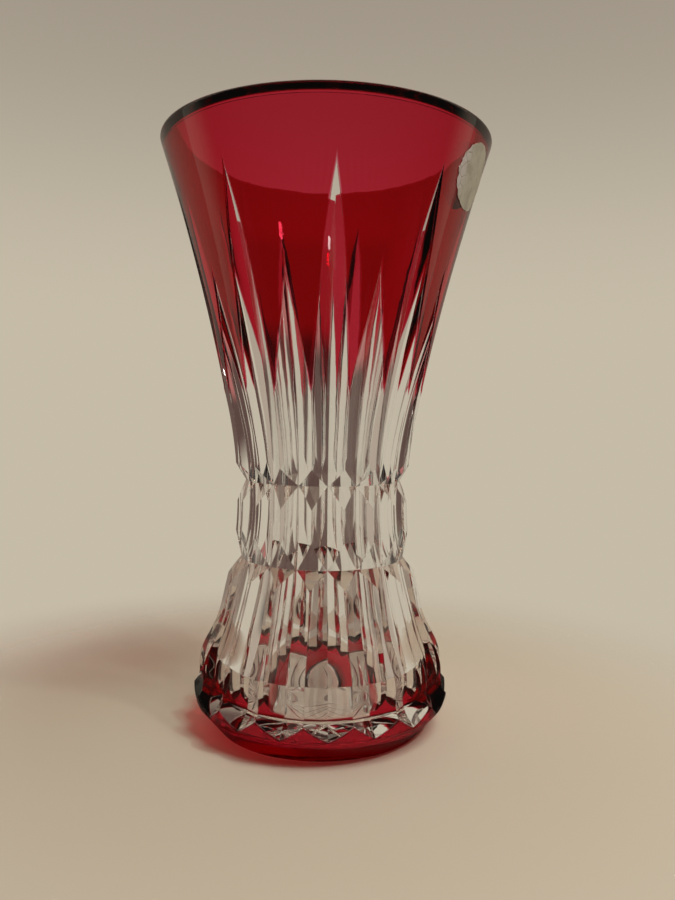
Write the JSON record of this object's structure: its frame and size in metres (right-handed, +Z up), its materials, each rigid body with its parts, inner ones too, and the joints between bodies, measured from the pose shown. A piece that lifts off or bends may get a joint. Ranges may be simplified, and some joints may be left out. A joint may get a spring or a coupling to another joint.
{
  "type": "vase",
  "caption": "Tall cut-glass vase with a flared rim, drawn-in waist and bell foot, clear glass cased in ruby glass and cut through with mitre grooves and rings.",
  "frame": {"origin": "centre of the foot ring, on the plane the vase rests on", "axes": "+Z up along the axis of the vase; -Y runs through a long groove, on the side that faces the viewer"},
  "size_m": [0.1398, 0.14, 0.25],
  "materials": {
    "clear_glass": "polished clear crystal",
    "ruby_glass": "polished transparent ruby glass",
    "label_paper": "worn matte paper, blank"
  },
  "bodies": {
    "root": {"clear_body": "clear_glass", "ruby_collar": "ruby_glass", "ruby_foot_band": "ruby_glass", "paper_label": "label_paper"}
  },
  "joints": []
}
